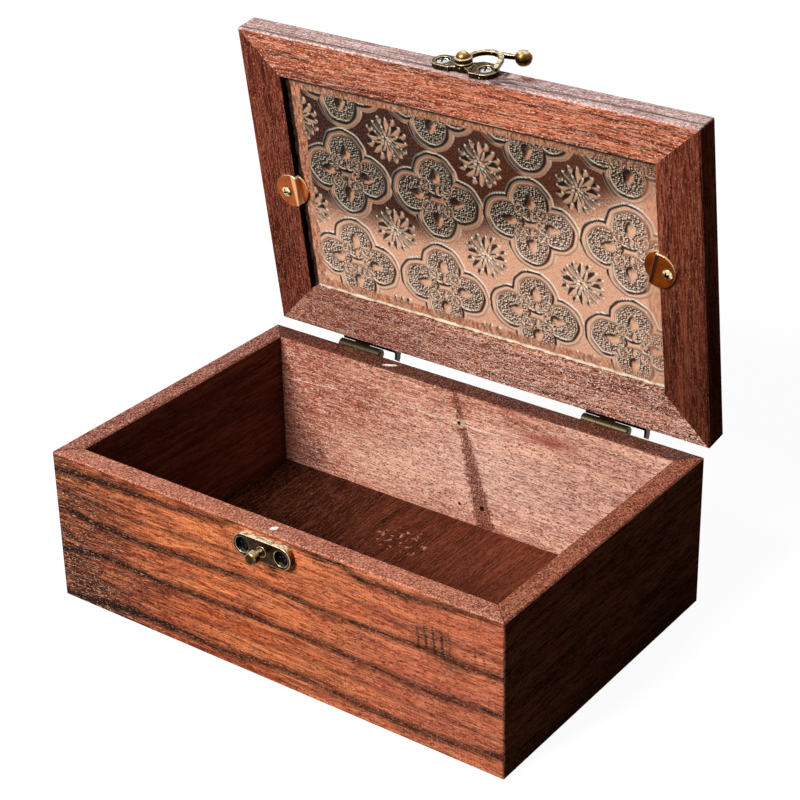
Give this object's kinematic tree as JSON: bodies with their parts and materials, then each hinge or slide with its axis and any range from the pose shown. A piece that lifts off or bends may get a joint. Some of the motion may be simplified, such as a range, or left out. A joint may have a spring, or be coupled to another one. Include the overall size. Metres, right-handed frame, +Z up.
{
  "type": "jewelry box",
  "caption": "Wooden jewelry box with a hinged, mitred lid holding a patterned glass pane, and a swivelling hook that catches a stud on the front.",
  "frame": {"origin": "middle of the underside of the case", "axes": "+X to the right along the front, +Y to the back, +Z up; the latch faces -Y and the lid is hinged at +Y"},
  "size_m": [0.2, 0.1539, 0.2022],
  "materials": {
    "stained_wood": "satin reddish-brown stain",
    "dark_wood": "dark matte stain",
    "patterned_glass": "rolled pattern on one face",
    "polished_brass": "polished",
    "antique_bronze": "darkened with rubbed highlights"
  },
  "bodies": {
    "case": {"front_wall": "stained_wood", "back_wall": "stained_wood", "left_wall": "stained_wood", "right_wall": "stained_wood", "floor_panel": "dark_wood", "keeper_plate": "antique_bronze", "keeper_stud": "antique_bronze", "keeper_screws": "antique_bronze", "left_hinge_case_leaf": "antique_bronze", "right_hinge_case_leaf": "antique_bronze", "left_hinge_pin": "antique_bronze", "right_hinge_pin": "antique_bronze", "hinge_case_screws": "antique_bronze"},
    "lid": {"lid_front_rail": "stained_wood", "lid_back_rail": "stained_wood", "lid_left_rail": "stained_wood", "lid_right_rail": "stained_wood", "glass_pane": "patterned_glass", "left_glass_clip": "polished_brass", "right_glass_clip": "polished_brass", "clip_screws": "polished_brass", "latch_plate": "antique_bronze", "latch_screws": "antique_bronze", "latch_rivet": "antique_bronze", "left_hinge_lid_leaf": "antique_bronze", "right_hinge_lid_leaf": "antique_bronze", "hinge_lid_screws": "antique_bronze"},
    "hook": {"latch_hook": "antique_bronze"}
  },
  "joints": [
    {"name": "lid_hinge", "type": "hinge", "parent": "case", "child": "lid", "pos_m": [0, 0.068, 0.0608], "axis": [-1, 0, 0], "range_deg": [-81.6, 18.4]},
    {"name": "hook_swivel", "type": "hinge", "parent": "lid", "child": "hook", "pos_m": [0.0017, 0.05523, 0.19386], "axis": [0, -0.1461, 0.9893], "range_deg": [-106, 90]}
  ]
}
